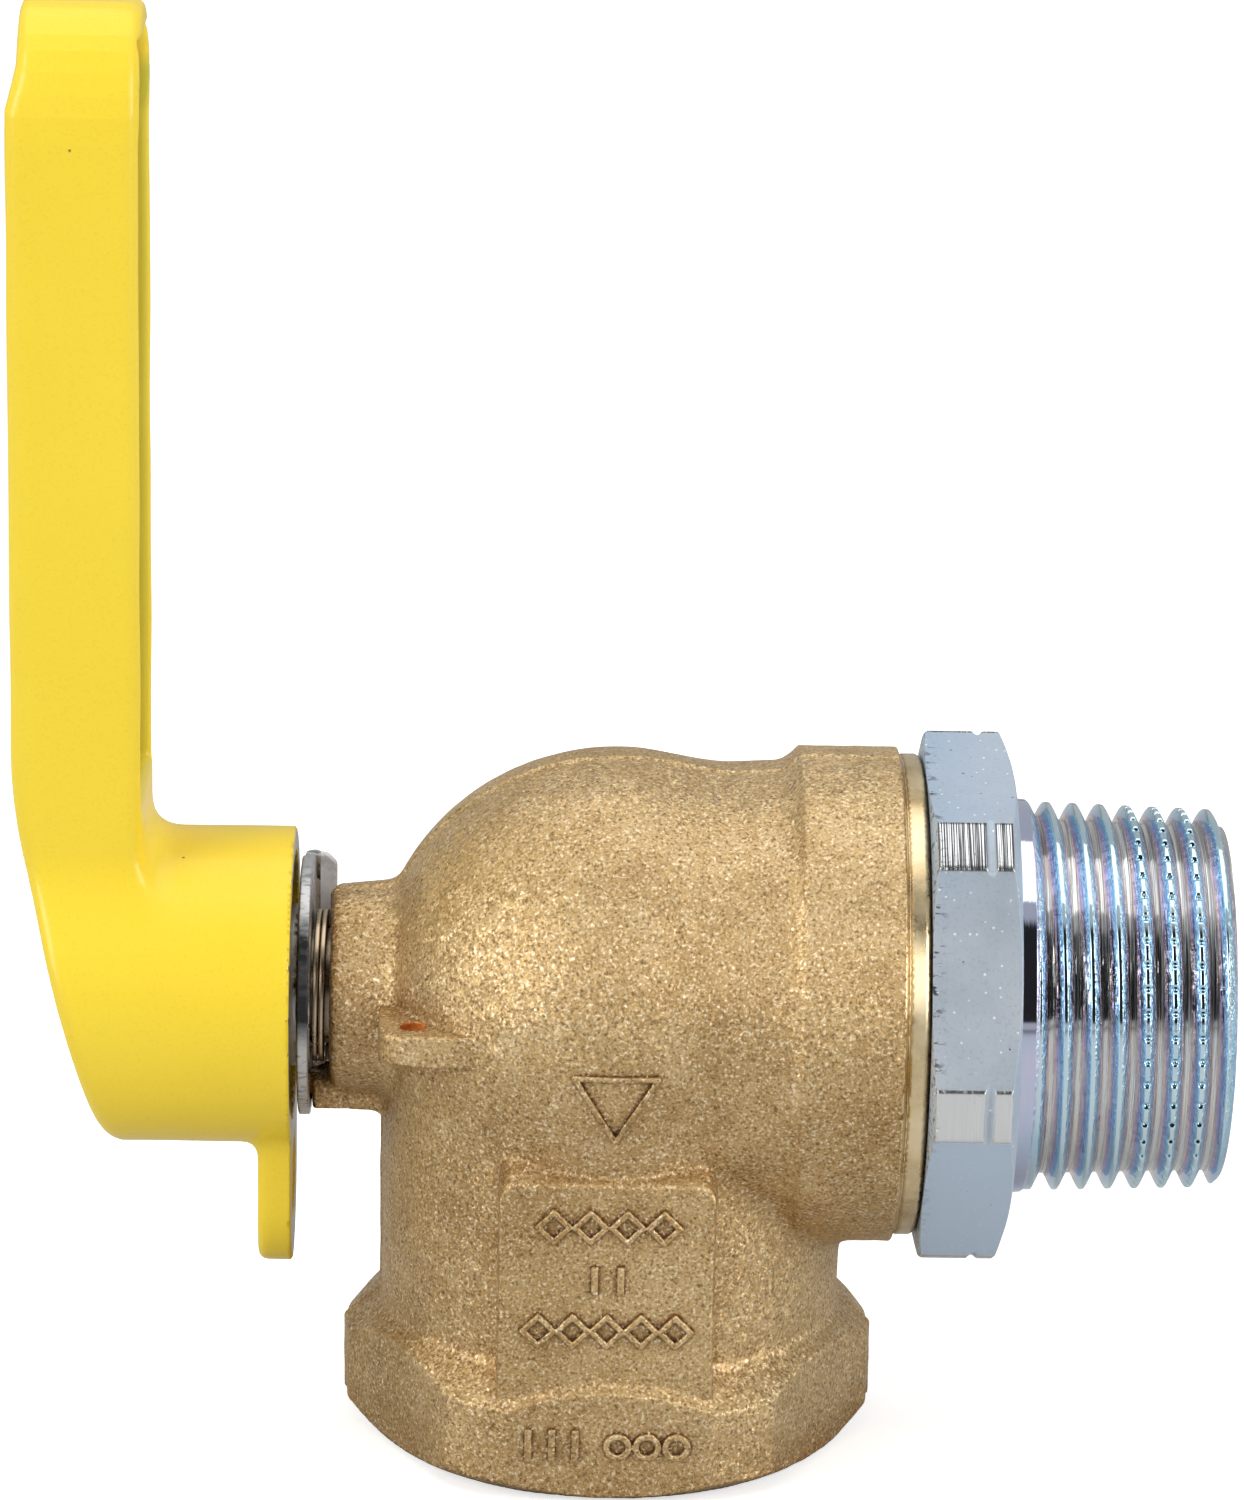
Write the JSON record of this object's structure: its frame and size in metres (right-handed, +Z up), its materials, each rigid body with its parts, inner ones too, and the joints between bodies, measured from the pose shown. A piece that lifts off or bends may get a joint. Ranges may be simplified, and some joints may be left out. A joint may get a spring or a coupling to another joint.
{
  "type": "angle ball valve",
  "caption": "Forged angle ball valve: threaded socket at the foot, threaded nipple to the side, quarter-turn lever opposite the nipple.",
  "frame": {"origin": "centre of the inlet socket's end face, which is the valve's base plane", "axes": "+Z up the inlet axis; +X out along the outlet axis; the lever stands up (+Z) at -X when the valve is open"},
  "size_m": [0.1037, 0.0456, 0.1247],
  "materials": {
    "brass": "sand-blasted forging, satin",
    "chromed": "polished",
    "zinc": "bright zinc plate",
    "steel": "ground",
    "lever": "glossy powder coat",
    "seat": "waxy",
    "seal": "matte"
  },
  "bodies": {
    "casing": {"valve_body": "brass", "inlet_seat": "seat", "outlet_seat": "seat", "back_seat": "seat", "inlet_seat_ring": "brass", "inlet_seat_o_ring": "seal", "outlet_nipple": "zinc", "outlet_seat_o_ring": "seal", "nipple_o_ring": "seal", "stem_thrust_washer": "seat"},
    "spindle": {"ball": "chromed", "stem": "steel", "stem_o_ring_inner": "seal", "stem_o_ring_outer": "seal", "spring_washer": "steel", "stop_plate": "steel", "handle": "lever", "handle_washer": "zinc", "handle_lock_washer": "zinc", "handle_screw": "zinc"}
  },
  "joints": [
    {"name": "lever_turn", "type": "hinge", "parent": "casing", "child": "spindle", "pos_m": [0, 0, 0.0385], "axis": [1, 0, 0], "range_deg": [0, 90]}
  ]
}
